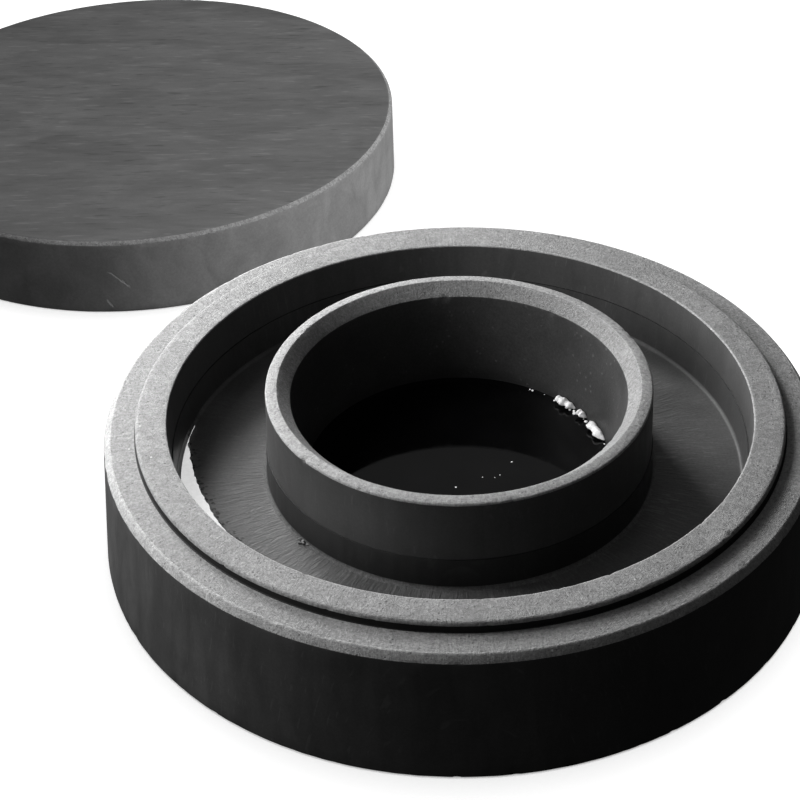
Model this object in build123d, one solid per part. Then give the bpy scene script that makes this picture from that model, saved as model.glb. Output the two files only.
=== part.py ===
from build123d import *
import os

# A round stone inkstone with its lid lifted off and laid on the table behind it, in millimetres.
# Origin: the centre of the base's underside. +Z is up, +Y runs from the front to the back.

# Outer wall of the base, which flares a little towards the table.
FOOT_RADIUS = 83.0
SHOULDER_RADIUS = 80.5
SHOULDER_HEIGHT = 29.6
FOOT_ROUNDING = 0.8

# Ledge that carries the lid, and the raised rim that the lid fits over.
LEDGE_RADIUS = 79.2
LEDGE_HEIGHT = 31.4
RIM_OUTER_RADIUS = 73.2
RIM_INNER_RADIUS = 66.0
RIM_HEIGHT = 33.8
RIM_OUTER_ROUNDING = 0.9

# Ring-shaped moat. It was cut in two passes, so both of its walls carry a small step.
STEP_HEIGHT = 24.5
STEP_WIDTH = 0.2
WALL_DRAFT = 0.4
MOAT_FLOOR_HEIGHT = 16.7
MOAT_CORNER_ROUNDING = 0.8

# Crescent on the moat's floor that the last pass, a little off centre, left standing.
LAND_RISE = 0.4
LAND_DEPTH = 1.0
LAST_PASS_RADIUS = 81.2
LAST_PASS_CENTRE = (17.0, 18.0)

# Ring round the well.
RING_RADIUS = 43.6
RING_HEIGHT = 39.7
RING_TOP_WIDTH = 2.7
RING_CHAMFER = 3.0

# Well inside the ring, and the ink in it.
WELL_FLOOR_RADIUS = 35.2
WELL_FLOOR_HEIGHT = 9.3
WELL_CORNER_ROUNDING = 3.0
INK_LEVEL = 14.3
INK_GAP = 0.05

# Lid: a disc with a chamfered top edge and a recess beneath that clears the rim and the ring.
LID_RADIUS = 77.2
LID_THICKNESS = 22.5
LID_CHAMFER_WIDTH = 1.1
LID_CHAMFER_HEIGHT = 0.9
LID_FIT_CLEARANCE = 0.4
LID_RING_CLEARANCE = 1.0
LID_PLACE = (-96.3, 164.7)

# Hand-sanded edges that aren't named above.
EDGE_ROUNDING = 0.3


def turned(outline):
    """Turn an outline of (radius, height, corner radius) points that starts and ends on the axis."""
    points = [(radius, 0, height) for radius, height, corner in outline]
    corners = [corner for radius, height, corner in outline[1:-1]]
    path = FilletPolyline(*points, radius=corners)
    closing_line = Line(points[-1], points[0])
    return revolve(make_face([*path.edges(), *closing_line.edges()]), Axis.Z)


def well_mouth():
    """Radius and height of the edge where the ring's chamfer meets the well's wall."""
    radius = RING_RADIUS - RING_TOP_WIDTH - RING_CHAMFER
    return radius, RING_HEIGHT - RING_CHAMFER


def well_radius(height):
    """Radius of the well's tapered wall at a height."""
    mouth_radius, mouth_height = well_mouth()
    share = (height - WELL_FLOOR_HEIGHT) / (mouth_height - WELL_FLOOR_HEIGHT)
    return WELL_FLOOR_RADIUS + share * (mouth_radius - WELL_FLOOR_RADIUS)


def outer_wall():
    """Underside, flared wall, chamfer and ledge."""
    return [
        (0, 0, 0),
        (FOOT_RADIUS, 0, FOOT_ROUNDING),
        (SHOULDER_RADIUS, SHOULDER_HEIGHT, EDGE_ROUNDING),
        (LEDGE_RADIUS, LEDGE_HEIGHT, EDGE_ROUNDING),
    ]


def rim():
    """Riser from the ledge and the rim's flat top."""
    return [
        (RIM_OUTER_RADIUS, LEDGE_HEIGHT, EDGE_ROUNDING),
        (RIM_OUTER_RADIUS, RIM_HEIGHT, RIM_OUTER_ROUNDING),
        (RIM_INNER_RADIUS, RIM_HEIGHT, EDGE_ROUNDING),
    ]


def moat():
    """Stepped outer wall, floor and stepped inner wall of the moat."""
    outer_upper = RIM_INNER_RADIUS - WALL_DRAFT
    outer_lower = outer_upper - STEP_WIDTH
    inner_upper = RING_RADIUS + WALL_DRAFT
    inner_lower = inner_upper + STEP_WIDTH
    return [
        (outer_upper, STEP_HEIGHT, 0),
        (outer_lower, STEP_HEIGHT, 0),
        (outer_lower - WALL_DRAFT, MOAT_FLOOR_HEIGHT, MOAT_CORNER_ROUNDING),
        (inner_lower + WALL_DRAFT, MOAT_FLOOR_HEIGHT, MOAT_CORNER_ROUNDING),
        (inner_lower, STEP_HEIGHT, 0),
        (inner_upper, STEP_HEIGHT, 0),
    ]


def ring_and_well():
    """Top of the ring, its inner chamfer, and the well down to its floor."""
    mouth_radius, mouth_height = well_mouth()
    return [
        (RING_RADIUS, RING_HEIGHT, EDGE_ROUNDING),
        (RING_RADIUS - RING_TOP_WIDTH, RING_HEIGHT, EDGE_ROUNDING),
        (mouth_radius, mouth_height, EDGE_ROUNDING),
        (WELL_FLOOR_RADIUS, WELL_FLOOR_HEIGHT, WELL_CORNER_ROUNDING),
        (0, WELL_FLOOR_HEIGHT, 0),
    ]


def moat_land():
    """Crescent of stone that stands a little above the rest of the moat's floor."""
    height = LAND_RISE + LAND_DEPTH
    whole = Cylinder(RIM_INNER_RADIUS, height, align=(Align.CENTER, Align.CENTER, Align.MAX))
    last_pass = Cylinder(LAST_PASS_RADIUS, height, align=(Align.CENTER, Align.CENTER, Align.MAX))
    crescent = whole - Pos(*LAST_PASS_CENTRE) * last_pass
    return Pos(0, 0, MOAT_FLOOR_HEIGHT + LAND_RISE) * crescent


def make_base():
    """The one piece of stone that holds the ledge, rim, moat, ring and well."""
    stone = turned(outer_wall() + rim() + moat() + ring_and_well())
    return stone + moat_land()


def make_ink():
    """The pool of ink, clear of the well's wall by a hair and resting on its floor."""
    return turned([
        (0, WELL_FLOOR_HEIGHT, 0),
        (WELL_FLOOR_RADIUS - INK_GAP, WELL_FLOOR_HEIGHT, WELL_CORNER_ROUNDING),
        (well_radius(INK_LEVEL) - INK_GAP, INK_LEVEL, 0),
        (0, INK_LEVEL, 0),
    ])


def make_lid():
    """The lid, right way up on the table."""
    recess_radius = RIM_OUTER_RADIUS + LID_FIT_CLEARANCE
    recess_depth = RING_HEIGHT - LEDGE_HEIGHT + LID_RING_CLEARANCE
    disc = turned([
        (0, LID_THICKNESS, 0),
        (LID_RADIUS - LID_CHAMFER_WIDTH, LID_THICKNESS, EDGE_ROUNDING),
        (LID_RADIUS, LID_THICKNESS - LID_CHAMFER_HEIGHT, EDGE_ROUNDING),
        (LID_RADIUS, 0, EDGE_ROUNDING),
        (recess_radius, 0, EDGE_ROUNDING),
        (recess_radius, recess_depth, WELL_CORNER_ROUNDING),
        (0, recess_depth, 0),
    ])
    return Pos(*LID_PLACE) * disc


NODES = {
    "base": make_base,
    "ink": make_ink,
    "lid": make_lid,
}

os.makedirs("parts", exist_ok=True)
for name, make in NODES.items():
    export_step(make(), f"parts/{name}.step")
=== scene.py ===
import math
import random
from collections import namedtuple

import bmesh
import bpy
from mathutils import Matrix, Vector, noise


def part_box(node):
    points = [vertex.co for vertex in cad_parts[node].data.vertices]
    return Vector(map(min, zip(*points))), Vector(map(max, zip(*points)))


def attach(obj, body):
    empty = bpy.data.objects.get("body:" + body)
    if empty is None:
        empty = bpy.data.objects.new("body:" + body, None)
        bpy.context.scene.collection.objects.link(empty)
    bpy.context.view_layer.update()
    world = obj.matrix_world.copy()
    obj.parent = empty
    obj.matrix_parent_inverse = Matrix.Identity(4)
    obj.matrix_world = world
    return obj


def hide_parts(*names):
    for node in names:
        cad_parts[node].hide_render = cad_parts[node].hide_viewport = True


# The looks of a round stone inkstone, its loose lid and the ink in its well, round the CAD frame.
# Lengths are in millimetres and scaled by MM where they are used. The frame's boxes, LID_CENTRE
# and everything on the stage are in metres, as Blender has them.

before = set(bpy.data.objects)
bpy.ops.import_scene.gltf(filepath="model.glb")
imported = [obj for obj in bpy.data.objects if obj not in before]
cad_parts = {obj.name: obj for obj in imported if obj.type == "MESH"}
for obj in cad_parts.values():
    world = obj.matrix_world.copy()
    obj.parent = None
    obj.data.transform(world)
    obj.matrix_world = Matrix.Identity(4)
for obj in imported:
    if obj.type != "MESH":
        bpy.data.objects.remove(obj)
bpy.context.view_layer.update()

MM = 0.001

# ---------------------------------------------------------------- sizes

FOOT_RADIUS = 83.0
FOOT_FACE = 0.01
SHOULDER_RADIUS = 80.5
SHOULDER_HEIGHT = 29.6
LEDGE_RADIUS = 79.2
LEDGE_HEIGHT = 31.4
RIM_OUTER_RADIUS = 73.2
RIM_INNER_RADIUS = 66.0
RIM_HEIGHT = 33.8
STEP_HEIGHT = 24.5
STEP_WIDTH = 0.2
WALL_DRAFT = 0.4
MOAT_FLOOR_HEIGHT = 16.7
RING_RADIUS = 43.6
RING_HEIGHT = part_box("base")[1].z / MM
RING_OUTER_DROP = 0.38
RING_TOP_WIDTH = 2.7
RING_CHAMFER = 3.0
WELL_RADIUS = RING_RADIUS - RING_TOP_WIDTH - RING_CHAMFER
WELL_FLOOR_RADIUS = 35.2
WELL_FLOOR_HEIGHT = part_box("ink")[0].z / MM

# The moat's last cut was a little off centre, and left a crescent of its floor uncut.
LAST_PASS_CENTRE = (17.0, 18.0)
LAST_PASS_RADIUS = 81.2
LAND_RISE = 0.4

INK_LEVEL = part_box("ink")[1].z / MM
INK_RADIUS = (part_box("ink")[1].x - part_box("ink")[0].x) / 2 / MM
INK_CREEP = 0.35

LID_LOW, LID_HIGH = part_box("lid")
LID_CENTRE = ((LID_LOW.x + LID_HIGH.x) / 2, (LID_LOW.y + LID_HIGH.y) / 2)
LID_THICKNESS = LID_HIGH.z / MM
LID_RADIUS = 77.2
LID_CHAMFER_WIDTH = 1.1
LID_CHAMFER_HEIGHT = 0.9
LID_RECESS_RADIUS = 73.6
LID_RECESS_DEPTH = 9.3

# ---------------------------------------------------------------- turned meshes

# A corner of an outline: how much its rounding is worn, the finish on the rounding, and the finish
# and point spacing of the straight run that follows it.
Corner = namedtuple("Corner", "radius height rounding wear finish after spacing")

ARC_SPACING = 0.2
GUARD = 0.3

UPPER_OUTER = RIM_INNER_RADIUS - WALL_DRAFT
LOWER_OUTER = UPPER_OUTER - STEP_WIDTH
UPPER_INNER = RING_RADIUS + WALL_DRAFT
LOWER_INNER = UPPER_INNER + STEP_WIDTH

BASE_SEGMENTS = 520
BASE_FINISHES = [
    "wall", "edge", "sanded", "shaded_crease", "moat_upper", "moat_lower_shadow", "floor",
    "fillet", "ring_foot_shadow", "honed", "ring_top", "chamfer", "well",
]
BASE_OUTLINE = [
    Corner(0, 0, 0, 0, "wall", "wall", 30),
    Corner(FOOT_RADIUS, 0, 0.8, 1, "wall", "wall", 3),
    Corner(SHOULDER_RADIUS, SHOULDER_HEIGHT, 0.5, 0.6, "wall", "edge", 0.45),
    Corner(LEDGE_RADIUS, LEDGE_HEIGHT, 0.9, 0.5, "edge", "sanded", 0.75),
    # The corner at the foot of the rim and the run up to the rim are painted near black: painted
    # shade under the rim's edge.
    Corner(RIM_OUTER_RADIUS, LEDGE_HEIGHT, 0.3, 0, "shaded_crease", "shaded_crease", 0.8),
    Corner(RIM_OUTER_RADIUS, RIM_HEIGHT, 0.9, 0.7, "sanded", "sanded", 0.8),
    Corner(RIM_INNER_RADIUS, RIM_HEIGHT, 0.4, 0.7, "edge", "moat_upper", 1.5),
    # The step in the moat's outer wall is painted near black: painted shade in the crease.
    Corner(UPPER_OUTER, STEP_HEIGHT, 0.08, 0, "shaded_crease", "shaded_crease", 0.3),
    # The moat's outer wall below the step is painted darker than above it: painted shadow of the
    # ring.
    Corner(LOWER_OUTER, STEP_HEIGHT, 0.08, 0, "shaded_crease", "moat_lower_shadow", 1.5),
    Corner(LOWER_OUTER - WALL_DRAFT, MOAT_FLOOR_HEIGHT, 0.8, 0, "floor", "floor", 0.6),
    # The ring's wall below the step is painted much darker: painted shadow of the rim on the ring's
    # foot.
    Corner(LOWER_INNER + WALL_DRAFT, MOAT_FLOOR_HEIGHT, 0.8, 0, "fillet", "ring_foot_shadow", 1.5),
    # The step in the ring's wall is painted near black too: painted shade in the crease.
    Corner(LOWER_INNER, STEP_HEIGHT, 0.08, 0, "shaded_crease", "shaded_crease", 0.3),
    Corner(UPPER_INNER, STEP_HEIGHT, 0.08, 0, "shaded_crease", "honed", 1.6),
    Corner(RING_RADIUS, RING_HEIGHT - RING_OUTER_DROP, 0.6, 1, "ring_top", "ring_top", 0.6),
    Corner(RING_RADIUS - RING_TOP_WIDTH, RING_HEIGHT, 0.3, 0.6, "ring_top", "chamfer", 0.6),
    Corner(WELL_RADIUS, RING_HEIGHT - RING_CHAMFER, 0.4, 0.6, "well", "well", 2),
    Corner(WELL_FLOOR_RADIUS, WELL_FLOOR_HEIGHT, 3, 0, "well", "well", 12),
    Corner(0, WELL_FLOOR_HEIGHT, 0, 0, "well", "well", 12),
]

LID_SEGMENTS = 520
LID_FINISHES = ["lid_under", "lid_side", "lid_edge", "lid_top"]
LID_OUTLINE = [
    Corner(0, LID_RECESS_DEPTH, 0, 0, "lid_under", "lid_under", 8),
    Corner(LID_RECESS_RADIUS, LID_RECESS_DEPTH, 3, 0, "lid_under", "lid_under", 1.5),
    Corner(LID_RECESS_RADIUS, 0, 0.5, 0.7, "lid_under", "lid_under", 0.8),
    Corner(LID_RADIUS, 0, 0.5, 1, "lid_side", "lid_side", 1.6),
    Corner(LID_RADIUS, LID_THICKNESS - LID_CHAMFER_HEIGHT, 0.4, 0.6, "lid_edge", "lid_edge", 0.4),
    Corner(LID_RADIUS - LID_CHAMFER_WIDTH, LID_THICKNESS, 0.4, 0.6, "lid_top", "lid_top", 2.2),
    Corner(0, LID_THICKNESS, 0, 0, "lid_top", "lid_top", 2.2),
]

INK_SEGMENTS = 200
INK_FOOT_GAP = 0.2
MENISCUS_WIDTH = 1.6
INK_SURFACE = INK_LEVEL - INK_CREEP
INK_OUTLINE = [
    Corner(0, WELL_FLOOR_HEIGHT, 0, 0, "ink", "ink", 12),
    Corner(WELL_FLOOR_RADIUS - INK_FOOT_GAP, WELL_FLOOR_HEIGHT, 3, 0, "ink", "ink", 1.5),
    Corner(INK_RADIUS, INK_LEVEL, 0, 0, "ink", "ink", 0.2),
    Corner(INK_RADIUS - MENISCUS_WIDTH, INK_SURFACE, MENISCUS_WIDTH, 0, "ink", "ink", 3),
    Corner(0, INK_SURFACE, 0, 0, "ink", "ink", 3),
]


def corner_arc(before, corner, after, rounding):
    """Points of the arc that rounds a corner, from tangent point to tangent point."""
    into = (corner - before).normalized()
    out = (after - corner).normalized()
    turn = into.angle_signed(out)
    reach = abs(rounding * math.tan(turn / 2))
    start = corner - into * reach
    side = Vector((-into.y, into.x)) * (-1 if turn > 0 else 1)
    centre = start + side * rounding
    steps = max(2, math.ceil(abs(turn) * rounding / ARC_SPACING))
    arm = start - centre
    return [centre + Matrix.Rotation(-turn * step / steps, 2) @ arm for step in range(steps + 1)]


def corner_points(outline, index):
    """The rounding's points at one corner of an outline, or the corner itself if it is sharp."""
    places = [Vector((corner.radius, corner.height)) for corner in outline]
    if outline[index].rounding == 0 or index in (0, len(outline) - 1):
        return [places[index]]
    return corner_arc(places[index - 1], places[index], places[index + 1], outline[index].rounding)


def run_points(start, end, spacing):
    """Points between the two ends of a straight run, with one close to each end of a coarse run."""
    length = (end - start).length
    count = max(1, math.ceil(length / spacing))
    shares = [step / count for step in range(1, count)]
    if spacing > 2 * GUARD and length > 4 * GUARD:
        shares = [GUARD / length] + shares + [1 - GUARD / length]
    return [start.lerp(end, share) for share in shares]


def sampled(outline):
    """Points along an outline, with each one's wear and the finish of the stretch after it."""
    points = []
    for index, corner in enumerate(outline):
        arc = corner_points(outline, index)
        points += [(place, corner.wear, corner.finish) for place in arc[:-1]]
        points.append((arc[-1], corner.wear, corner.after))
        if index + 1 < len(outline):
            run_end = corner_points(outline, index + 1)[0]
            between = run_points(arc[-1], run_end, corner.spacing)
            points += [(place, 0, corner.after) for place in between]
    return points


def ring_faces(rows, segments):
    """Faces of a turned mesh of rows of points, from its first pole to its last."""
    first_pole = rows * segments
    faces = []
    for column in range(segments):
        following = (column + 1) % segments
        faces.append((first_pole, following, column))
        for row in range(rows - 1):
            low = row * segments
            high = low + segments
            faces.append((low + column, low + following, high + following, high + column))
        last = (rows - 1) * segments
        faces.append((first_pole + 1, last + column, last + following))
    return faces


def tube_faces(stations, sides):
    """Faces of a tube with the same number of sides at every station, closed at both ends."""
    faces = []
    for station in range(stations - 1):
        low = station * sides
        high = low + sides
        for corner in range(sides):
            following = (corner + 1) % sides
            faces.append((low + corner, high + corner, high + following, low + following))
    last = (stations - 1) * sides
    faces.append(tuple(range(sides)))
    faces.append(tuple(last + corner for corner in reversed(range(sides))))
    return faces


def joined(shapes):
    """The vertices, in metres, and the faces of several (places, faces) shapes as one."""
    vertices = []
    faces = []
    for places, shape_faces in shapes:
        faces += [tuple(len(vertices) + corner for corner in face) for face in shape_faces]
        vertices += [place * MM for place in places]
    return vertices, faces


def outward(angle):
    """The level direction at an angle round the axis."""
    return Vector((math.cos(angle), math.sin(angle), 0))


def mesh_piece(name, vertices, faces, finishes, smooth=True):
    """A new piece in the scene, with a material for each of its finishes."""
    mesh = bpy.data.meshes.new(name)
    mesh.from_pydata(vertices, [], faces)
    mesh.polygons.foreach_set("use_smooth", [smooth] * len(mesh.polygons))
    for finish in finishes:
        mesh.materials.append(MATERIALS[finish])
    piece = bpy.data.objects.new(name, mesh)
    bpy.context.scene.collection.objects.link(piece)
    return piece


def turned_piece(name, outline, finishes, segments, centre, reshape):
    """A closed turned piece. reshape moves each point, given its place, outward normal and wear."""
    points = sampled(outline)
    vertices = []
    for index in range(1, len(points) - 1):
        place, wear, _ = points[index]
        along = (points[index + 1][0] - points[index - 1][0]).normalized()
        for segment in range(segments):
            out = outward(2 * math.pi * segment / segments)
            spot = out * place.x + Vector((0, 0, place.y))
            normal = out * along.y - Vector((0, 0, along.x))
            vertices.append(reshape(spot, normal, wear) * MM + Vector((*centre, 0)))
    for place, _, _ in (points[0], points[-1]):
        vertices.append(Vector((*centre, place.y * MM)))
    piece = mesh_piece(name, vertices, ring_faces(len(points) - 2, segments), finishes)
    column_finish = [finish for _, _, finish in points[:-1]]
    numbers = [finishes.index(finish) for finish in column_finish] * segments
    piece.data.polygons.foreach_set("material_index", numbers)
    piece.data.update()
    return piece


def smoothstep(value):
    clipped = min(1.0, max(0.0, value))
    return clipped * clipped * (3 - 2 * clipped)


# ---------------------------------------------------------------- hand finish

WAVE_SIZE = 14.0
WAVE_DEPTH = 0.06
RUB_SIZE = 3.0
RUB_DEPTH = 0.1
CHIP_SIZE = 1.7
CHIP_SCARCITY = 0.42
CHIP_DEPTH = 1.3
LID_NOISE_SHIFT = Vector((200, 0, 0))

FLOOR_BAND = 1.0
LAND_SLOPE = 0.5
LAND_RAG = 0.5
LAND_RAG_SIZE = 1.6
STROKE_WIDTH = 1.1
STROKE_LENGTH = 6.0
STROKE_DEPTH = 0.05


def unit_noise(spot):
    """Smooth noise, moved from between -1 and 1 to between 0 and 1."""
    return 0.5 + 0.5 * noise.noise(spot)


def finish_depth(spot, wear):
    """How far hand finishing took the stone below the plain turned shape."""
    depth = WAVE_DEPTH * unit_noise(spot / WAVE_SIZE)
    if wear:
        rub = unit_noise(spot / RUB_SIZE)
        chip = max(0.0, noise.noise(spot / CHIP_SIZE) - CHIP_SCARCITY)
        depth += wear * (RUB_DEPTH * rub + CHIP_DEPTH * chip)
    return depth


def land_share(spot):
    """1 on the crescent that the moat's last pass left standing, 0 off it, ragged between."""
    from_centre = math.hypot(spot.x - LAST_PASS_CENTRE[0], spot.y - LAST_PASS_CENTRE[1])
    ragged = LAND_RAG * noise.noise(spot / LAND_RAG_SIZE)
    return smoothstep((from_centre + ragged - LAST_PASS_RADIUS) / LAND_SLOPE)


def stroke_depth(spot, radius):
    """Shallow radial strokes of the tool on the moat's floor."""
    around = Vector((spot.x, spot.y, 0)) * (RING_RADIUS / radius / STROKE_WIDTH)
    stroke = noise.noise(around + Vector((0, 0, radius / STROKE_LENGTH)))
    return STROKE_DEPTH * max(0.0, stroke)


def reshape_base(spot, normal, wear):
    """Hand-finished stone everywhere but on the underside, which stays flat."""
    radius = math.hypot(spot.x, spot.y)
    if spot.z < FOOT_FACE:
        return spot
    shaped = spot - normal * finish_depth(spot, wear)
    on_floor = LOWER_INNER < radius < UPPER_OUTER and spot.z < MOAT_FLOOR_HEIGHT + FLOOR_BAND
    if on_floor:
        level = max(0.0, MOAT_FLOOR_HEIGHT + FLOOR_BAND - spot.z)
        lift = LAND_RISE * land_share(spot) - stroke_depth(spot, radius)
        shaped.z += level * lift
    return shaped


def reshape_lid(spot, normal, wear):
    """Hand-finished stone, worn in other places than the base, with a flat foot."""
    if spot.z < FOOT_FACE:
        return spot
    return spot - normal * finish_depth(spot + LID_NOISE_SHIFT, wear)


RIPPLE_SIZE = 16.0
RIPPLE_DEPTH = 0.02


def reshape_ink(spot, normal, _):
    """Liquid that lies level, but for a trace of a ripple."""
    if spot.z < INK_LEVEL - 2 * INK_CREEP:
        return spot
    return spot - normal * RIPPLE_DEPTH * unit_noise(spot / RIPPLE_SIZE)


# ---------------------------------------------------------------- material nodes

def new_material(name):
    """A material with its node tree and its shader node."""
    material = bpy.data.materials.new(name)
    material.use_nodes = True
    tree = material.node_tree
    return material, tree, tree.nodes["Principled BSDF"]


def node(tree, kind, inputs=None, **settings):
    """Adds a node. Each input is a plain value or another node's output."""
    made = tree.nodes.new(kind)
    for key, value in settings.items():
        setattr(made, key, value)
    for key, value in (inputs or {}).items():
        if isinstance(value, bpy.types.NodeSocket):
            tree.links.new(value, made.inputs[key])
        else:
            made.inputs[key].default_value = value
    return made


def place_from(tree, centre=(0.0, 0.0)):
    """Object coordinates in metres, measured from a vertical axis."""
    place = node(tree, "ShaderNodeTexCoord").outputs["Object"]
    shift = (-centre[0], -centre[1], 0)
    return node(tree, "ShaderNodeVectorMath", {0: place, 1: shift}, operation="ADD").outputs[0]


def maths(tree, operation, first, second=0.0):
    return node(tree, "ShaderNodeMath", {0: first, 1: second}, operation=operation).outputs[0]


def vectors(tree, operation, first, second):
    return node(tree, "ShaderNodeVectorMath", {0: first, 1: second}, operation=operation).outputs[0]


def scaled(tree, vector, factor):
    settings = {0: vector, "Scale": factor}
    return node(tree, "ShaderNodeVectorMath", settings, operation="SCALE").outputs[0]


def polar(tree, place):
    """Distance from the axis, the direction round it, and the height."""
    parts = node(tree, "ShaderNodeSeparateXYZ", {0: place}).outputs
    flat = node(tree, "ShaderNodeCombineXYZ", {0: parts[0], 1: parts[1]}).outputs[0]
    radius = node(tree, "ShaderNodeVectorMath", {0: flat}, operation="LENGTH").outputs["Value"]
    around = node(tree, "ShaderNodeVectorMath", {0: flat}, operation="NORMALIZE").outputs[0]
    return radius, around, parts[2]


def stretched(tree, place, x, y, z):
    """A place divided by a lump's size along each axis, in millimetres."""
    return vectors(tree, "MULTIPLY", place, (1 / (x * MM), 1 / (y * MM), 1 / (z * MM)))


def wrapped(tree, around, ring_radius, width, along, length):
    """A place for lumps of a width round the axis and a length along another coordinate."""
    turn = scaled(tree, around, ring_radius / width)
    advance = maths(tree, "MULTIPLY", along, 1 / (length * MM))
    return vectors(tree, "ADD", turn, node(tree, "ShaderNodeCombineXYZ", {2: advance}).outputs[0])


def lumps(tree, vector, detail, roughness, distortion=0.0):
    """Noise over a place that is already measured in lumps."""
    settings = {"Vector": vector, "Scale": 1.0, "Detail": detail, "Roughness": roughness}
    settings["Distortion"] = distortion
    return node(tree, "ShaderNodeTexNoise", settings).outputs["Fac"]


def grain(tree, place, size, detail, roughness=0.6):
    """Noise with even lumps of a size in millimetres."""
    return lumps(tree, scaled(tree, place, 1 / (size * MM)), detail, roughness)


def spots(tree, place, size, edge):
    """1 inside small scattered spots, 0 between them."""
    settings = {"Vector": scaled(tree, place, 1 / (size * MM)), "Scale": 1.0}
    distance = node(tree, "ShaderNodeTexVoronoi", settings).outputs["Distance"]
    return remap(tree, distance, edge * 0.6, edge, 1, 0)


def remap(tree, value, low, high, to_low, to_high):
    settings = {0: value, 1: low, 2: high, 3: to_low, 4: to_high}
    return node(tree, "ShaderNodeMapRange", settings).outputs[0]


def product(tree, first, *others):
    value = first
    for other in others:
        value = maths(tree, "MULTIPLY", value, other)
    return value


def blend(tree, factor, first, second):
    """A colour that goes from first to second as the factor goes from 0 to 1."""
    mix = node(tree, "ShaderNodeMix", {0: factor, 6: first, 7: second}, data_type="RGBA")
    return mix.outputs[2]


def grey(level):
    return (level, level, level, 1.0)


def bump(tree, *layers):
    """Bump layers stacked as (height, depth in millimetres, strength)."""
    normal = None
    for height, depth, strength in layers:
        settings = {"Height": height, "Distance": depth * MM, "Strength": strength}
        if normal:
            settings["Normal"] = normal
        normal = node(tree, "ShaderNodeBump", settings).outputs["Normal"]
    return normal


def finish_shader(tree, shader, colour, roughness, normal, specular):
    tree.links.new(colour, shader.inputs["Base Color"])
    tree.links.new(roughness, shader.inputs["Roughness"])
    tree.links.new(normal, shader.inputs["Normal"])
    shader.inputs["Specular IOR Level"].default_value = specular


# ---------------------------------------------------------------- materials

def sanded_stone(name, level, coarseness=1.0):
    """Pale, dry, sanded stone: crystal grain, pores, bright flecks and short scratches."""
    material, tree, shader = new_material(name)
    place = place_from(tree)
    radius, around, _ = polar(tree, place)
    fine = grain(tree, place, 0.95 * coarseness, 5, 0.8)
    sand = grain(tree, place, 0.45 * coarseness, 3, 0.75)
    slow = grain(tree, place, 17, 3, 0.55)
    patchy = grain(tree, place, 4.5, 3, 0.6)
    scratches = lumps(tree, wrapped(tree, around, LEDGE_RADIUS, 0.4, radius, 4), 3, 0.6, 0.8)
    pores = spots(tree, place, 1.5, 0.17)
    flecks = spots(tree, vectors(tree, "ADD", place, (0.5, 0.2, 0.1)), 6.5, 0.05)
    strength = product(
        tree,
        remap(tree, fine, 0.3, 0.7, 0.6, 1.4),
        remap(tree, sand, 0.3, 0.7, 0.75, 1.25),
        remap(tree, patchy, 0.35, 0.65, 0.94, 1.06),
        remap(tree, slow, 0.35, 0.65, 0.93, 1.07),
        remap(tree, scratches, 0.3, 0.7, 0.86, 1.14),
        remap(tree, pores, 0, 1, 1, 0.6),
    )
    base = scaled(tree, grey(level)[:3], strength)
    colour = blend(tree, flecks, base, grey(min(0.8, level * 2)))
    roughness = remap(tree, slow, 0.35, 0.65, 0.56, 0.7)
    normal = bump(
        tree,
        (fine, 0.36 * coarseness, 0.8),
        (sand, 0.16 * coarseness, 0.7),
        (scratches, 0.08, 0.5),
        (pores, -0.12, 0.6),
    )
    finish_shader(tree, shader, colour, roughness, normal, 0.3)
    return material


def dark_stone(name, level, roughness, specular, smudge):
    """Dark worked stone: turning lines round it, smudges that run down it, and a fine grain."""
    material, tree, shader = new_material(name)
    place = place_from(tree)
    _, around, height = polar(tree, place)
    fine = grain(tree, place, 0.6, 3, 0.7)
    slow = grain(tree, place, 15, 3, 0.6)
    smudges = lumps(tree, wrapped(tree, around, FOOT_RADIUS, 5, height, 26), 3, 0.6, 0.8)
    turning = lumps(tree, wrapped(tree, around, RING_RADIUS, 30, height, 0.5), 2, 0.5)
    scratches = lumps(tree, stretched(tree, place, 9, 0.35, 5), 1, 0.5, 0.4)
    strength = product(
        tree,
        remap(tree, fine, 0.3, 0.7, 0.9, 1.1),
        remap(tree, slow, 0.35, 0.65, 1 - smudge, 1 + smudge),
        remap(tree, smudges, 0.35, 0.65, 1 - smudge, 1 + smudge),
        remap(tree, scratches, 0.66, 0.74, 1, 1.3),
    )
    colour = scaled(tree, grey(level)[:3], strength)
    gloss = remap(tree, smudges, 0.35, 0.65, roughness - 0.06, roughness + 0.06)
    normal = bump(tree, (fine, 0.03, 0.5), (turning, 0.03, 0.35))
    finish_shader(tree, shader, colour, gloss, normal, specular)
    return material


def well_stone(level):
    """The well's wall: dark honed stone with dried specks and a dull tide line near the ink."""
    material, tree, shader = new_material("stone_well")
    place = place_from(tree)
    _, _, height = polar(tree, place)
    fine = grain(tree, place, 0.6, 4, 0.75)
    slow = grain(tree, place, 9, 3, 0.6)
    specks = spots(tree, place, 1.9, 0.2)
    patches = remap(tree, slow, 0.45, 0.6, 0, 1)
    tide = remap(tree, height, (INK_LEVEL + 0.4) * MM, (INK_LEVEL + 3.5) * MM, 0.75, 1)
    strength = product(
        tree,
        remap(tree, fine, 0.3, 0.7, 0.78, 1.22),
        remap(tree, slow, 0.35, 0.65, 0.9, 1.1),
        remap(tree, product(tree, specks, patches), 0, 1, 1, 1.9),
        tide,
    )
    colour = scaled(tree, grey(level)[:3], strength)
    roughness = remap(tree, slow, 0.35, 0.65, 0.42, 0.56)
    normal = bump(tree, (fine, 0.09, 0.5), (specks, 0.06, 0.5))
    finish_shader(tree, shader, colour, roughness, normal, 0.3)
    return material


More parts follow.
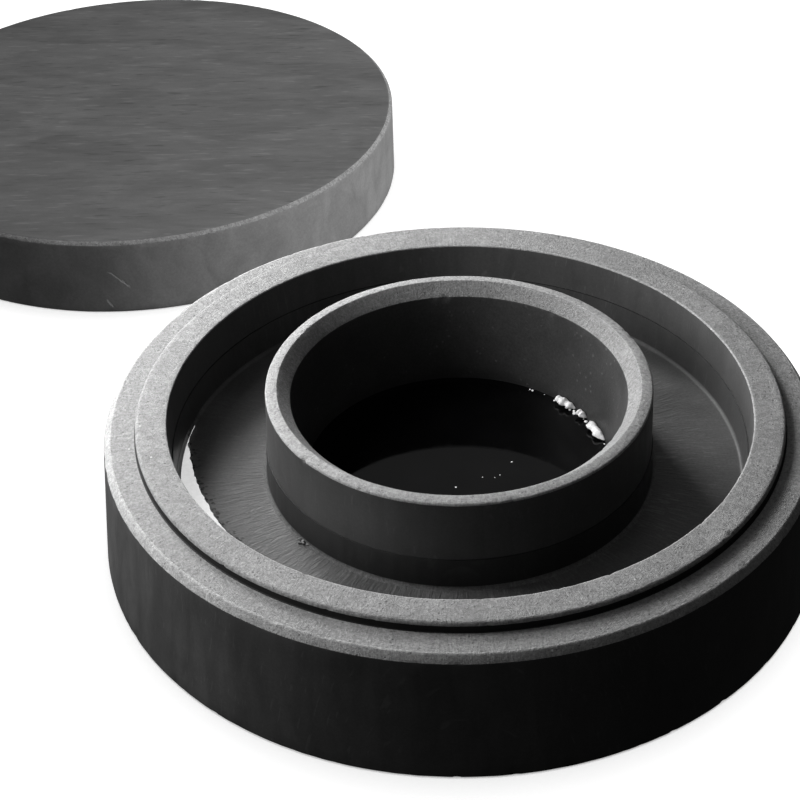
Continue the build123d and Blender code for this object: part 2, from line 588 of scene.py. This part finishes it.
# Bands on the moat's floor: where its tool strokes fade out and where the pale line at its wall
# comes up, measured from the axis, and the crescent's soft edge and the pitted strip beside it,
# measured outward from that edge.
STROKES_FADE = (45, 62)
WALL_LINE = (64.2, 64.6)
CRESCENT_EDGE = (0.05, 0.35)
CRESCENT_RAG = 0.45
CRESCENT_RAG_SIZE = 1.3
PITTED_STRIP = (-2.4, -0.2)


def band(tree, distance, ends, to_low, to_high):
    """A value that goes from to_low to to_high between two distances in millimetres."""
    return remap(tree, distance, ends[0] * MM, ends[1] * MM, to_low, to_high)


def crescent(tree, place):
    """1 on the crescent of uncut floor, 0 elsewhere, and the distance beyond its inner edge."""
    shift = (-LAST_PASS_CENTRE[0] * MM, -LAST_PASS_CENTRE[1] * MM, 0)
    from_centre = polar(tree, vectors(tree, "ADD", place, shift))[0]
    lump = grain(tree, place, CRESCENT_RAG_SIZE, 3, 0.7)
    ragged = remap(tree, lump, 0.2, 0.8, -CRESCENT_RAG * MM, CRESCENT_RAG * MM)
    beyond = maths(tree, "SUBTRACT", maths(tree, "ADD", from_centre, ragged), LAST_PASS_RADIUS * MM)
    return band(tree, beyond, CRESCENT_EDGE, 0, 1), beyond


def moat_floor(level, stroke_level, land_level):
    """The moat's floor: radial tool strokes, a pale uncut crescent, and a pale line at the wall."""
    material, tree, shader = new_material("stone_moat_floor")
    place = place_from(tree)
    radius, around, _ = polar(tree, place)
    fine = grain(tree, place, 0.6, 4, 0.7)
    slow = grain(tree, place, 12, 3, 0.6)
    strokes = lumps(tree, wrapped(tree, around, RING_RADIUS, 0.6, radius, 4), 2, 0.55, 0.8)
    near_ring = band(tree, radius, STROKES_FADE, 1, 0.2)
    patches = remap(tree, slow, 0.38, 0.55, 0.25, 1)
    marks = product(tree, remap(tree, strokes, 0.54, 0.68, 0, 1), near_ring, patches)
    land, beyond = crescent(tree, place)
    pits = product(
        tree,
        band(tree, beyond, PITTED_STRIP, 0, 1),
        spots(tree, place, 1.1, 0.42),
        remap(tree, land, 0, 0.5, 1, 0),
    )
    at_wall = band(tree, radius, WALL_LINE, 0, 0.12)
    strength = product(
        tree,
        remap(tree, fine, 0.3, 0.7, 0.84, 1.16),
        remap(tree, slow, 0.35, 0.65, 0.88, 1.12),
        remap(tree, pits, 0, 1, 1, 0.2),
    )
    floor = scaled(tree, blend(tree, marks, grey(level), grey(stroke_level)), strength)
    edged = blend(tree, at_wall, floor, grey(stroke_level))
    pale = scaled(tree, grey(land_level)[:3], remap(tree, fine, 0.3, 0.7, 0.9, 1.05))
    colour = blend(tree, land, edged, pale)
    roughness = remap(tree, slow, 0.35, 0.65, 0.5, 0.62)
    normal = bump(
        tree,
        (fine, 0.08, 0.5),
        (product(tree, strokes, near_ring), 0.35, 0.8),
        (pits, -0.3, 0.8),
    )
    finish_shader(tree, shader, colour, roughness, normal, 0.3)
    return material


def lid_top_stone(level):
    """Honed slate with fine streaks that all run one way, and soft blotches along them."""
    material, tree, shader = new_material("stone_lid_top")
    place = place_from(tree, LID_CENTRE)
    fine = grain(tree, place, 0.6, 3, 0.7)
    blotches = lumps(tree, stretched(tree, place, 34, 12, 12), 3, 0.55, 0.8)
    broad = lumps(tree, stretched(tree, place, 13, 2.6, 9), 2, 0.55, 0.6)
    streaks = lumps(tree, stretched(tree, place, 6.5, 0.9, 5), 1, 0.5, 0.1)
    pale = remap(tree, streaks, 0.64, 0.74, 0, 1)
    dark = remap(tree, streaks, 0.24, 0.36, 1, 0)
    strength = product(
        tree,
        remap(tree, fine, 0.3, 0.7, 0.95, 1.05),
        remap(tree, blotches, 0.35, 0.65, 0.84, 1.16),
        remap(tree, broad, 0.35, 0.65, 0.92, 1.08),
        remap(tree, pale, 0, 1, 1, 1.35),
        remap(tree, dark, 0, 1, 1, 0.66),
    )
    colour = scaled(tree, grey(level)[:3], strength)
    roughness = remap(tree, blotches, 0.35, 0.65, 0.46, 0.56)
    normal = bump(tree, (fine, 0.03, 0.4), (streaks, 0.06, 0.35))
    finish_shader(tree, shader, colour, roughness, normal, 0.35)
    return material


def scratch(tree, place, start, end, width):
    """1 along a scratch on the front of the lid between two (x, height) places in millimetres."""
    run = Vector(end) - Vector(start)
    length = run.length
    along = Vector((run.x / length, 0, run.y / length))
    across = Vector((-along.z, 0, along.x))
    from_start = vectors(tree, "ADD", place, (-start[0] * MM, 0, -start[1] * MM))
    travel = node(tree, "ShaderNodeVectorMath", {0: from_start, 1: along}, operation="DOT_PRODUCT")
    offset = node(tree, "ShaderNodeVectorMath", {0: from_start, 1: across}, operation="DOT_PRODUCT")
    wobble = remap(tree, grain(tree, place, 2, 2), 0.3, 0.7, -0.4 * MM, 0.4 * MM)
    away = maths(tree, "ABSOLUTE", maths(tree, "ADD", offset.outputs["Value"], wobble))
    middle = maths(tree, "SUBTRACT", travel.outputs["Value"], length / 2 * MM)
    reach = maths(tree, "ABSOLUTE", middle)
    facing = node(tree, "ShaderNodeSeparateXYZ", {0: place}).outputs[1]
    return product(
        tree,
        remap(tree, away, width * 0.3 * MM, width * 0.6 * MM, 1, 0),
        remap(tree, reach, length * 0.35 * MM, length * 0.5 * MM, 1, 0),
        remap(tree, facing, -0.001, 0, 1, 0),
    )


# Scratches on the front of the lid, as (start, end, width), with the ends as (x, height).
LID_SCRATCHES = [
    ((1.2, 13.5), (7.4, 8), 0.55),
    ((0.2, 4.5), (1.8, 1.6), 0.6),
]


def lid_side_stone(name, level):
    """The lid's side: soft smudges and two pale slanting scratches at the front."""
    material, tree, shader = new_material(name)
    place = place_from(tree, LID_CENTRE)
    _, around, height = polar(tree, place)
    fine = grain(tree, place, 0.7, 3, 0.7)
    smudges = lumps(tree, wrapped(tree, around, LID_RADIUS, 9, height, 14), 4, 0.6, 1.0)
    marks = maths(tree, "ADD", *[scratch(tree, place, *line) for line in LID_SCRATCHES])
    strength = product(
        tree,
        remap(tree, fine, 0.3, 0.7, 0.9, 1.1),
        remap(tree, smudges, 0.3, 0.7, 0.84, 1.16),
        remap(tree, marks, 0, 1, 1, 1.9),
    )
    colour = scaled(tree, grey(level)[:3], strength)
    roughness = remap(tree, smudges, 0.35, 0.65, 0.5, 0.62)
    normal = bump(tree, (fine, 0.06, 0.5), (smudges, 0.06, 0.3), (marks, -0.1, 0.5))
    finish_shader(tree, shader, colour, roughness, normal, 0.3)
    return material


def ink_liquid():
    """Black liquid with a mirror surface, a little duller where a film lies on it."""
    material, tree, shader = new_material("ink_liquid")
    place = place_from(tree)
    film = grain(tree, place, 11, 3, 0.6)
    colour = scaled(tree, (0.0022, 0.0022, 0.0024), remap(tree, film, 0.3, 0.7, 0.6, 1.4))
    roughness = remap(tree, film, 0.35, 0.7, 0.03, 0.09)
    normal = bump(tree, (grain(tree, place, 7, 1), 0.02, 0.3))
    finish_shader(tree, shader, colour, roughness, normal, 0.5)
    shader.inputs["IOR"].default_value = 1.34
    return material


def foam():
    """Froth on the ink: pale wet bubbles with darker seams."""
    material, tree, shader = new_material("ink_foam")
    place = place_from(tree)
    cells = grain(tree, place, 0.5, 2, 0.6)
    colour = scaled(tree, grey(0.95)[:3], remap(tree, cells, 0.35, 0.65, 0.85, 1.05))
    roughness = remap(tree, cells, 0.35, 0.65, 0.12, 0.25)
    normal = bump(tree, (cells, 0.03, 0.3))
    finish_shader(tree, shader, colour, roughness, normal, 0.5)
    return material


def land_stone(level):
    """The crescent of the moat's floor that was never cut: pale, dry and smooth."""
    material, tree, shader = new_material("stone_land")
    place = place_from(tree)
    fine = grain(tree, place, 0.7, 4, 0.7)
    colour = scaled(tree, grey(level)[:3], remap(tree, fine, 0.3, 0.7, 0.9, 1.05))
    roughness = remap(tree, fine, 0.3, 0.7, 0.45, 0.6)
    finish_shader(tree, shader, colour, roughness, bump(tree, (fine, 0.06, 0.5)), 0.3)
    return material


MATERIALS = {
    "wall": dark_stone("stone_wall", 0.064, 0.5, 0.25, 0.1),
    "edge": sanded_stone("stone_edge", 0.38, 0.8),
    "sanded": sanded_stone("stone_sanded", 0.27),
    # Near black: painted shade in the creases at the foot of the rim and at the steps in the moat.
    "shaded_crease": dark_stone("stone_shaded_crease", 0.014, 0.6, 0.15, 0.1),
    "ring_top": sanded_stone("stone_ring_top", 0.34, 0.9),
    "moat_upper": dark_stone("stone_moat_upper", 0.085, 0.5, 0.25, 0.08),
    # Darker than moat_upper: painted shadow of the ring on the moat's outer wall below the step.
    "moat_lower_shadow": dark_stone("stone_moat_lower_shadow", 0.07, 0.45, 0.25, 0.1),
    "honed": dark_stone("stone_honed", 0.058, 0.48, 0.25, 0.08),
    # Painted shadow of the rim on the ring's foot, below the step.
    "ring_foot_shadow": dark_stone("stone_ring_foot_shadow", 0.026, 0.42, 0.25, 0.1),
    "fillet": sanded_stone("stone_fillet", 0.12, 0.8),
    "floor": moat_floor(0.1, 0.17, 0.45),
    "land": land_stone(0.45),
    "chamfer": sanded_stone("stone_chamfer", 0.26, 0.8),
    "well": well_stone(0.05),
    "lid_under": lid_side_stone("stone_lid_under", 0.08),
    "lid_side": lid_side_stone("stone_lid_side", 0.2),
    "lid_edge": sanded_stone("stone_lid_edge", 0.21, 0.8),
    "lid_top": lid_top_stone(0.108),
    "ink": ink_liquid(),
    "foam": foam(),
}


# ---------------------------------------------------------------- pieces

def make_base():
    """The stone that holds the ledge, rim, moat, ring and well."""
    piece = turned_piece(
        "base_stone", BASE_OUTLINE, BASE_FINISHES, BASE_SEGMENTS, (0, 0), reshape_base
    )
    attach(piece, "base")
    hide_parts("base")


LAND_STATIONS = 120
LAND_START = math.radians(-192)
LAND_END = math.radians(-88)
LAND_TOP = MOAT_FLOOR_HEIGHT + LAND_RISE
LAND_WALL_GAP = 0.7
LAND_OUTER = LOWER_OUTER - WALL_DRAFT - LAND_WALL_GAP
LAND_SKIN = 0.01
LAND_ROOT = -0.2
LAND_LEAST_WIDTH = 0.02


def make_land():
    """The uncut crescent's pale top, from its ragged inner edge to the foot of the moat's wall."""
    middle = Vector(LAST_PASS_CENTRE)
    vertices = []
    for station in range(LAND_STATIONS + 1):
        angle = LAND_START + (LAND_END - LAND_START) * station / LAND_STATIONS
        out = Vector((math.cos(angle), math.sin(angle)))
        toward = out.dot(middle)
        edge = toward + math.sqrt(toward * toward - middle.length_squared + LAST_PASS_RADIUS ** 2)
        edge += LAND_SLOPE / 2 + LAND_RAG * noise.noise(Vector((*out, 0)) * edge / LAND_RAG_SIZE)
        inner = min(edge, LAND_OUTER - LAND_LEAST_WIDTH)
        section = (
            (inner, LAND_ROOT),
            (inner, LAND_SKIN),
            (LAND_OUTER, LAND_SKIN),
            (LAND_OUTER, LAND_ROOT),
        )
        for radius, height in section:
            vertices.append(Vector((*(out * radius), LAND_TOP + height)) * MM)
    faces = tube_faces(LAND_STATIONS + 1, len(section))
    piece = mesh_piece("base_crescent", vertices, faces, ["land"], smooth=False)
    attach(piece, "base")
    return piece


def make_lid():
    """The loose lid, right way up on the table."""
    piece = turned_piece(
        "lid_stone", LID_OUTLINE, LID_FINISHES, LID_SEGMENTS, LID_CENTRE, reshape_lid
    )
    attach(piece, "lid")
    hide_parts("lid")
    return piece


def make_ink():
    """The pool of ink, which creeps a little up the well's wall."""
    piece = turned_piece("ink_pool", INK_OUTLINE, ["ink"], INK_SEGMENTS, (0, 0), reshape_ink)
    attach(piece, "base")
    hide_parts("ink")


BUBBLE_SEED = 7
BUBBLE_RINGS = 7
BUBBLE_SEGMENTS = 14
BUBBLE_SPREAD = math.radians(115)

RAFT_STEPS = 48
RAFT_SIDES = 20
RAFT_LUMP = 0.16
RAFT_LUMP_DENSITY = 1.4
RAFT_TIP = 0.02
RAFT_BLUNTNESS = 0.45
RAFT_GIRTH = 0.86
RAFT_WAIST = 0.14
RAFT_LOW_SHARE = 0.35
RAFT_RISE_SHARE = 0.65
WALL_LEAN = 0.1
SLUMP = 0.35

BEAD_JITTER = 0.8
BEAD_SIZES = (0.6, 1.3)
BEAD_INSET = 0.7
BEAD_FLATNESS = (0.7, 1.0)
STRAY_FLATNESS = 0.6

# Froth, with angles in degrees: rafts as (name, start, end, width, height, climb, lobes), stretches
# of beads as (start, end, count, size, inward), and single bubbles on the ink as (x, y, radius).
RAFTS = [
    ("foam_raft_back", 48.5, 38, 2.1, 1.6, 1.7, 3),
    ("foam_raft_middle", 36, 31, 1.7, 1.3, 1.6, 2),
    ("foam_raft_front", 28.5, 15.5, 2.2, 1.7, 1.5, 2),
]
BEADS = [
    (66, 50, 10, 0.34, 0.1),
    (49, 14, 24, 0.42, 0.5),
]
STRAYS = [
    (-0.8, -6.8, 0.24),
    (5.4, -3.2, 0.16),
    (12.3, 2.3, 0.24),
    (9.4, -2.5, 0.16),
    (8.2, -3.4, 0.12),
]


def foam_piece(name, vertices, faces):
    """A piece of froth that rides on the base with the ink."""
    piece = mesh_piece(name, vertices, faces, ["foam"])
    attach(piece, "base")
    return piece


def bubble_dome(centre, radius, flatness):
    """Vertices and faces of one bubble, a dome that sinks a little into the ink."""
    vertices = [Vector((centre.x, centre.y, INK_SURFACE + radius * flatness))]
    faces = []
    for ring in range(1, BUBBLE_RINGS + 1):
        lean = ring / BUBBLE_RINGS * BUBBLE_SPREAD
        for segment in range(BUBBLE_SEGMENTS):
            turn = 2 * math.pi * segment / BUBBLE_SEGMENTS
            out = Vector((math.cos(turn), math.sin(turn))) * radius * math.sin(lean)
            height = INK_SURFACE + radius * flatness * math.cos(lean)
            vertices.append(Vector((centre.x + out.x, centre.y + out.y, height)))
    for segment in range(BUBBLE_SEGMENTS):
        following = (segment + 1) % BUBBLE_SEGMENTS
        faces.append((0, 1 + segment, 1 + following))
        for ring in range(BUBBLE_RINGS - 1):
            low = 1 + ring * BUBBLE_SEGMENTS
            high = low + BUBBLE_SEGMENTS
            faces.append((low + segment, high + segment, high + following, low + following))
    last = 1 + (BUBBLE_RINGS - 1) * BUBBLE_SEGMENTS
    faces.append(tuple(last + segment for segment in reversed(range(BUBBLE_SEGMENTS))))
    return vertices, faces


def make_bubbles(name, bubbles):
    """One piece of froth from (centre, radius, flatness) bubbles."""
    vertices, faces = joined([bubble_dome(*bubble) for bubble in bubbles])
    return foam_piece(name, vertices, faces)


def make_raft(name, start, end, width, height, climb, lobes):
    """A wet raft of froth at the waterline: a lumpy tube with tapered ends, held by the wall."""
    vertices = []
    for step in range(RAFT_STEPS + 1):
        share = step / RAFT_STEPS
        out = outward(math.radians(start + (end - start) * share))
        fullness = max(RAFT_TIP, math.sin(math.pi * share)) ** RAFT_BLUNTNESS
        fullness *= RAFT_GIRTH - RAFT_WAIST * math.cos(2 * math.pi * lobes * share)
        half = width / 2 * fullness
        middle = INK_RADIUS + WALL_LEAN * climb - half
        level = INK_SURFACE + climb * (RAFT_LOW_SHARE + RAFT_RISE_SHARE * fullness)
        centre = out * middle + Vector((0, 0, level))
        for corner in range(RAFT_SIDES):
            turn = 2 * math.pi * corner / RAFT_SIDES
            spot = Vector((0, 0, level + height * fullness * math.sin(turn) / 2))
            slump = SLUMP * max(0.0, -math.cos(turn)) * fullness
            spot.z -= slump
            spot += out * (middle + half * math.cos(turn) - slump)
            lump = 1 + RAFT_LUMP * noise.noise(spot * RAFT_LUMP_DENSITY)
            vertices.append((centre + (spot - centre) * lump) * MM)
    return foam_piece(name, vertices, tube_faces(RAFT_STEPS + 1, RAFT_SIDES))


def froth(draw, start, end, count, size, inward):
    """Beads strewn along the waterline between two angles in degrees."""
    beads = []
    for index in range(count):
        share = (index + 0.5) / count
        strewn = start + (end - start) * share + draw.uniform(-BEAD_JITTER, BEAD_JITTER)
        angle = math.radians(strewn)
        radius = size * draw.uniform(*BEAD_SIZES)
        reach = INK_RADIUS - radius * BEAD_INSET - inward * draw.uniform(0.0, 1.0)
        centre = Vector((math.cos(angle), math.sin(angle))) * reach
        beads.append((centre, radius, draw.uniform(*BEAD_FLATNESS)))
    return beads


def make_froth():
    """Rafts of froth at the right of the ink, beads round them, and a few strays."""
    draw = random.Random(BUBBLE_SEED)
    rafts = [make_raft(*raft) for raft in RAFTS]
    beads = [bead for stretch in BEADS for bead in froth(draw, *stretch)]
    strays = [(Vector((x, y)), radius, STRAY_FLATNESS) for x, y, radius in STRAYS]
    return rafts + [make_bubbles("foam_beads", beads), make_bubbles("foam_strays", strays)]


CRUMB_SEED = 3
CRUMB_COUNT = 6
CRUMB_ANGLE = -140.0
CRUMB_ANGLE_SPREAD = 0.9
CRUMB_WALL_GAP = 0.2
CRUMB_SCATTER = 0.5
CRUMB_SIZES = (0.2, 0.5)
CRUMB_RAGGEDNESS = 0.5
CRUMB_FLATNESS = 0.8
CRUMB_NOISE_RANGE = 9


def crumb(size, draw):
    """A small irregular stone: an icosphere with its corners pushed about."""
    shape = bmesh.new()
    bmesh.ops.create_icosphere(shape, subdivisions=2, radius=size)
    offset = Vector([draw.uniform(0, CRUMB_NOISE_RANGE) for _ in range(3)])
    places = []
    for vertex in shape.verts:
        push = 1 + CRUMB_RAGGEDNESS * noise.noise(vertex.co / size + offset)
        places.append(Vector((vertex.co.x, vertex.co.y, vertex.co.z * CRUMB_FLATNESS)) * push)
    faces = [tuple(vertex.index for vertex in face.verts) for face in shape.faces]
    shape.free()
    return places, faces


def make_crumbs():
    """Crumbs of stone that the tool left at the foot of the ring."""
    draw = random.Random(CRUMB_SEED)
    crumbs = []
    for _ in range(CRUMB_COUNT):
        angle = math.radians(draw.gauss(CRUMB_ANGLE, CRUMB_ANGLE_SPREAD))
        scatter = abs(draw.gauss(0, CRUMB_SCATTER))
        size = draw.uniform(*CRUMB_SIZES)
        spot = outward(angle) * (LOWER_INNER + WALL_DRAFT + CRUMB_WALL_GAP + scatter)
        spot.z = MOAT_FLOOR_HEIGHT + size * 0.5
        places, faces = crumb(size, draw)
        crumbs.append(([spot + place for place in places], faces))
    piece = mesh_piece("stone_crumbs", *joined(crumbs), ["sanded"], smooth=False)
    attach(piece, "base")


# ---------------------------------------------------------------- stage

FLOOR_HALF_WIDTH = 6.0
FLOOR_GLOW = 0.42
WORLD_DIM = 0.02
WORLD_PALE = 0.85

CAMERA_PLACE = Vector((0.0, -0.3456, 0.2904))
CAMERA_TILT = math.radians(36.55)
CAMERA_PAN = math.radians(-2.2)
CAMERA_ROLL = math.radians(-1.83)
CAMERA_LENS = 85.5

MIDDLE_HEIGHT = 0.03
MIDDLE = (0.0, 0.0, MIDDLE_HEIGHT)
LID_MIDDLE = (*LID_CENTRE, 0.01)


def make_floor():
    """A plain pale table. It shows to the camera, but throws no light back on the dark stone."""
    corners = [(-1, -1), (1, -1), (1, 1), (-1, 1)]
    vertices = [(x * FLOOR_HALF_WIDTH, y * FLOOR_HALF_WIDTH, 0) for x, y in corners]
    floor = mesh_piece("table", vertices, [(0, 1, 2, 3)], [], smooth=False)
    floor.visible_diffuse = False
    floor.visible_glossy = False
    material, _, shader = new_material("table_paper")
    shader.inputs["Base Color"].default_value = grey(0.8)
    shader.inputs["Roughness"].default_value = 0.9
    shader.inputs["Specular IOR Level"].default_value = 0.1
    shader.inputs["Emission Color"].default_value = grey(1.0)
    shader.inputs["Emission Strength"].default_value = FLOOR_GLOW
    floor.data.materials.append(material)
    return floor


def collection(name, pieces):
    """A collection that only tells a light which pieces it works on."""
    made = bpy.data.collections.new(name)
    for piece in pieces:
        made.objects.link(piece)
    return made


def make_light(name, place, aim, width, watts, lit, shades=None):
    """A square soft light for some pieces. They alone shade it, unless shades names others."""
    data = bpy.data.lights.new(name, "AREA")
    data.size = width
    data.energy = watts
    light = bpy.data.objects.new(name, data)
    light.location = place
    light.rotation_mode = "QUATERNION"
    light.rotation_quaternion = (Vector(aim) - Vector(place)).to_track_quat("-Z", "Y")
    light.visible_camera = False
    bpy.context.scene.collection.objects.link(light)
    light.light_linking.receiver_collection = collection(name + "_lights", lit)
    light.light_linking.blocker_collection = collection(name + "_shades", shades or lit)


def from_middle(azimuth, elevation, distance):
    """A place seen from above the middle of the base, by angles in degrees."""
    turn = math.radians(azimuth)
    lift = math.radians(elevation)
    out = math.cos(lift) * distance
    height = math.sin(lift) * distance + MIDDLE_HEIGHT
    return Vector((math.cos(turn) * out, math.sin(turn) * out, height))


def make_world():
    """Dim studio air round the object, with a pale backdrop for the camera alone."""
    world = bpy.data.worlds.new("studio")
    world.use_nodes = True
    tree = world.node_tree
    background = tree.nodes["Background"]
    seen = node(tree, "ShaderNodeLightPath").outputs["Is Camera Ray"]
    tree.links.new(blend(tree, seen, grey(WORLD_DIM), grey(WORLD_PALE)), background.inputs["Color"])
    bpy.context.scene.world = world


def make_camera():
    """A camera above the front of the object, turned a little about its own view."""
    data = bpy.data.cameras.new("camera")
    data.sensor_width = 36.0
    data.lens = CAMERA_LENS
    data.clip_start = 0.01
    camera = bpy.data.objects.new("camera", data)
    ahead = Vector((math.sin(CAMERA_PAN) * math.cos(CAMERA_TILT),
                    math.cos(CAMERA_PAN) * math.cos(CAMERA_TILT),
                    -math.sin(CAMERA_TILT)))
    level_right = ahead.cross(Vector((0, 0, 1))).normalized()
    level_up = level_right.cross(ahead)
    right = math.cos(CAMERA_ROLL) * level_right + math.sin(CAMERA_ROLL) * level_up
    up = -math.sin(CAMERA_ROLL) * level_right + math.cos(CAMERA_ROLL) * level_up
    turn = Matrix((right, up, -ahead)).transposed().to_4x4()
    camera.matrix_world = Matrix.Translation(CAMERA_PLACE) @ turn
    bpy.context.scene.collection.objects.link(camera)
    bpy.context.scene.camera = camera


def make_lights(lid, crescent_land, foam_pieces, table):
    """Soft lights that each work on some pieces alone. Every piece shades the table's light."""
    meshes = [piece for piece in bpy.context.scene.objects if piece.type == "MESH"]
    on_base = [piece for piece in meshes if piece not in (lid, table)]
    make_light("key_low", from_middle(135, 14, 0.22), MIDDLE, 0.08, 0.26, on_base)
    make_light("key_back", from_middle(116, 30, 0.4), MIDDLE, 0.1, 0.65, on_base)
    make_light("key_high", from_middle(160, 45, 0.3), MIDDLE, 0.12, 0.2, on_base)
    make_light("key_left", from_middle(178, 28, 0.3), MIDDLE, 0.12, 0.74, on_base)
    make_light("key_front", from_middle(215, 20, 0.3), MIDDLE, 0.12, 0.09, on_base)
    make_light("key_far", from_middle(122, 28, 1.0), MIDDLE, 0.35, 6.4, on_base)
    make_light("top", from_middle(0, 90, 1.2), MIDDLE, 1.0, 0.7, on_base)
    make_light("crescent_light", from_middle(-10, 50, 0.5), MIDDLE, 0.2, 6.0, [crescent_land])
    make_light("foam_light", from_middle(182, 60, 0.3), MIDDLE, 0.1, 0.35, foam_pieces)
    make_light("back_panel", from_middle(90, 38, 1.0), MIDDLE, 0.8, 0.5, on_base)
    make_light("lid_key", from_middle(0, 35, 0.7), MIDDLE, 0.3, 7.6, [lid])
    make_light("lid_low", from_middle(52, 14, 0.38), LID_MIDDLE, 0.1, 0.2, [lid])
    make_light("lid_back", from_middle(100, 45, 1.0), MIDDLE, 0.4, 1.8, [lid])
    make_light("lid_left", from_middle(185, 14, 0.22), MIDDLE, 0.08, 0.04, [lid])
    make_light("table_light", (0.0, 0.2, 1.8), (0.0, 0.1, 0.0), 2.4, 55.0, [table], meshes)


# ---------------------------------------------------------------- scene

make_camera()
make_base()
lid = make_lid()
make_ink()
crescent_land = make_land()
foam_pieces = make_froth()
make_crumbs()
table = make_floor()
make_world()
make_lights(lid, crescent_land, foam_pieces, table)
bpy.context.scene.view_settings.view_transform = "Standard"
